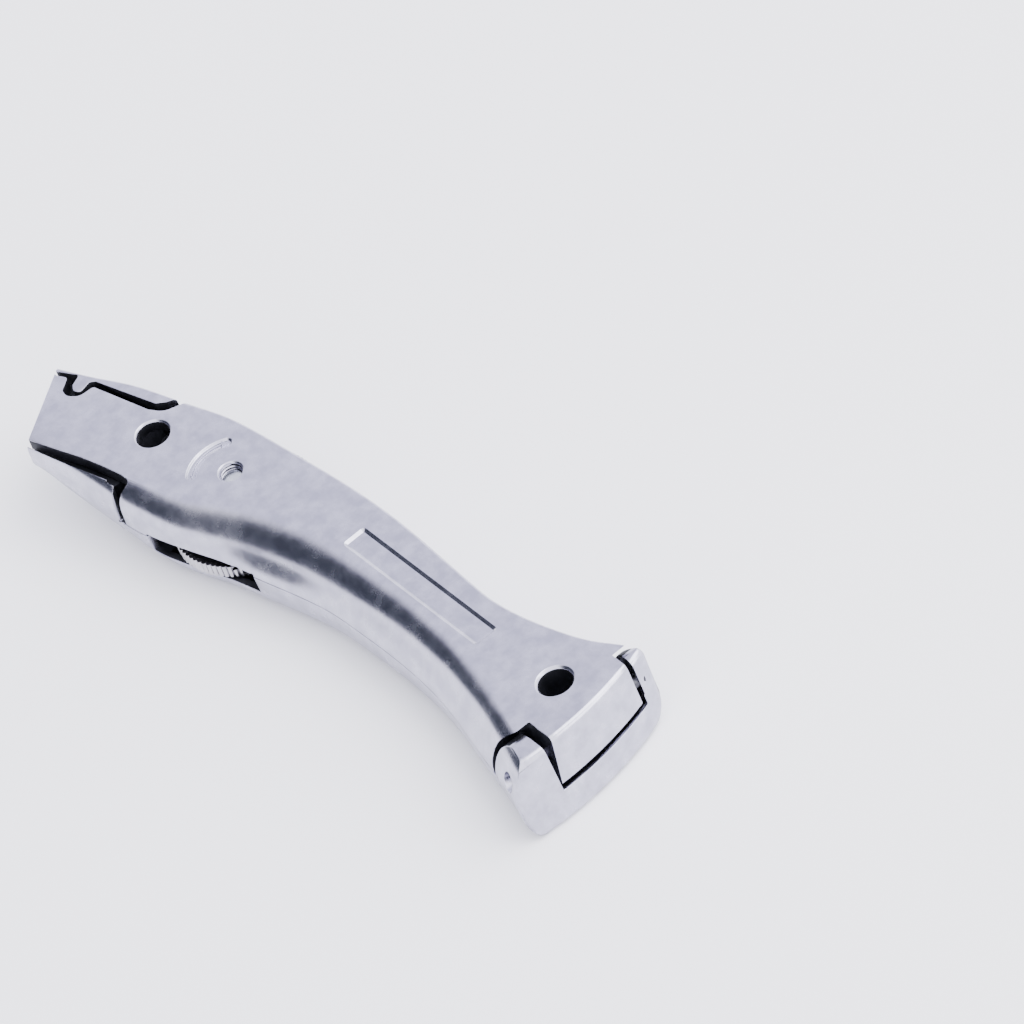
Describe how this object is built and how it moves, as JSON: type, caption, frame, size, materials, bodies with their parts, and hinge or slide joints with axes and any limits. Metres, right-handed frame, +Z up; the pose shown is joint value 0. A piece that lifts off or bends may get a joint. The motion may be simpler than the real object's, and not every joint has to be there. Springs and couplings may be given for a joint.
{
  "type": "utility knife",
  "caption": "Die-cast trimming knife: two hinged shells clamped by a knurled thumbwheel, with a hooked nose for a flat blade and spare blades in the handle.",
  "frame": {"origin": "centre of the closed knife's outline, on the face it lies on", "axes": "+X to the tail, +Y to the spine, +Z up out of the cover's flat top"},
  "size_m": [0.1739, 0.0472, 0.0204],
  "materials": {
    "zinc_casting": "tumbled satin die-casting",
    "wheel_steel": "nickel-plated, knurled rim",
    "screw_steel": "bright zinc plated",
    "pin_steel": "ground",
    "spring_steel": "blued",
    "blade_steel": "ground, bright edge",
    "bronze": "sintered"
  },
  "bodies": {
    "base": {"lower_shell": "zinc_casting", "hinge_pin": "pin_steel", "screw_bush": "bronze", "thrust_washer": "spring_steel", "blade_peg_front": "pin_steel", "blade_peg_rear": "pin_steel", "magazine_clip": "spring_steel", "clip_screw": "screw_steel", "blade_stop_pins": "pin_steel", "spare_blade_1": "blade_steel", "spare_blade_2": "blade_steel", "spare_blade_3": "blade_steel", "spare_blade_4": "blade_steel", "spare_blade_5": "blade_steel", "wear_plate": "spring_steel", "wear_plate_rivets": "pin_steel"},
    "cover": {"upper_shell": "zinc_casting"},
    "wheel": {"thumbwheel": "wheel_steel", "clamp_screw": "screw_steel", "spring_washer": "spring_steel", "retaining_ring": "spring_steel"}
  },
  "joints": [
    {"name": "cover_hinge", "type": "hinge", "parent": "base", "child": "cover", "pos_m": [0.0795, 0, 0.0131], "axis": [0, 1, 0], "range_deg": [0, 95]},
    {"name": "wheel_spin", "type": "hinge", "parent": "base", "child": "wheel", "pos_m": [-0.032, -0.00042, 0.0075], "axis": [0, 0, 1], "continuous": true}
  ]
}
